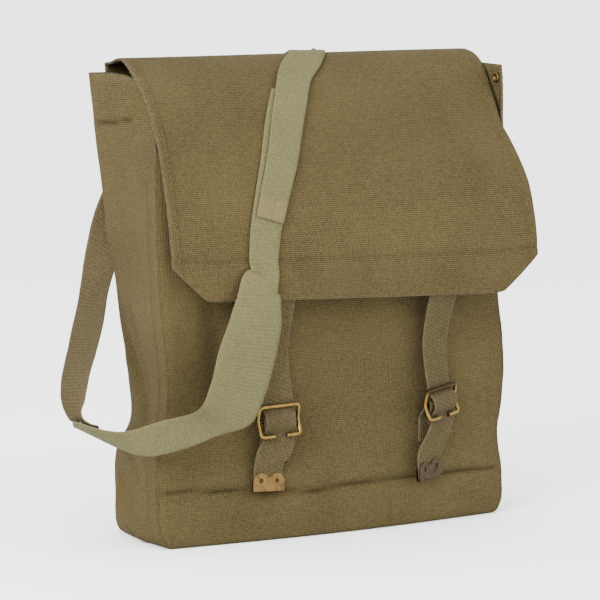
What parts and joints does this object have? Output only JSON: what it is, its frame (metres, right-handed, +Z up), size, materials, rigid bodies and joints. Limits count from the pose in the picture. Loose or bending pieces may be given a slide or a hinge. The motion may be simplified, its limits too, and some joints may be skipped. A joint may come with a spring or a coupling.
{
  "type": "military backpack",
  "caption": "Canvas box-shaped military pack with a cover flap, webbing closing straps with brass buckles, and a webbing shoulder strap looped round its side.",
  "frame": {"origin": "middle of the pack's flat base, on the surface it stands on", "axes": "+Z up, the front with the cover flap and buckles faces -Y, +X is to the viewer's right when looking at the front"},
  "size_m": [0.4089, 0.1739, 0.3828],
  "materials": {
    "canvas": "matte plain-weave canvas",
    "olive_webbing": "matte woven webbing",
    "sage_webbing": "matte woven webbing",
    "brass": "worn satin",
    "dull_brass": "tarnished satin"
  },
  "bodies": {
    "root": {"pack_body": "canvas", "cover_flap": "canvas", "closing_strap_left": "olive_webbing", "closing_strap_right": "olive_webbing", "buckle_chape_left": "olive_webbing", "buckle_chape_right": "olive_webbing", "buckle_left": "brass", "buckle_right": "brass", "strap_tip_left": "brass", "strap_tip_right": "dull_brass", "shoulder_strap_upper": "sage_webbing", "shoulder_strap_pad": "sage_webbing", "shoulder_strap_rear": "olive_webbing", "eyelet_right": "brass"}
  },
  "joints": []
}
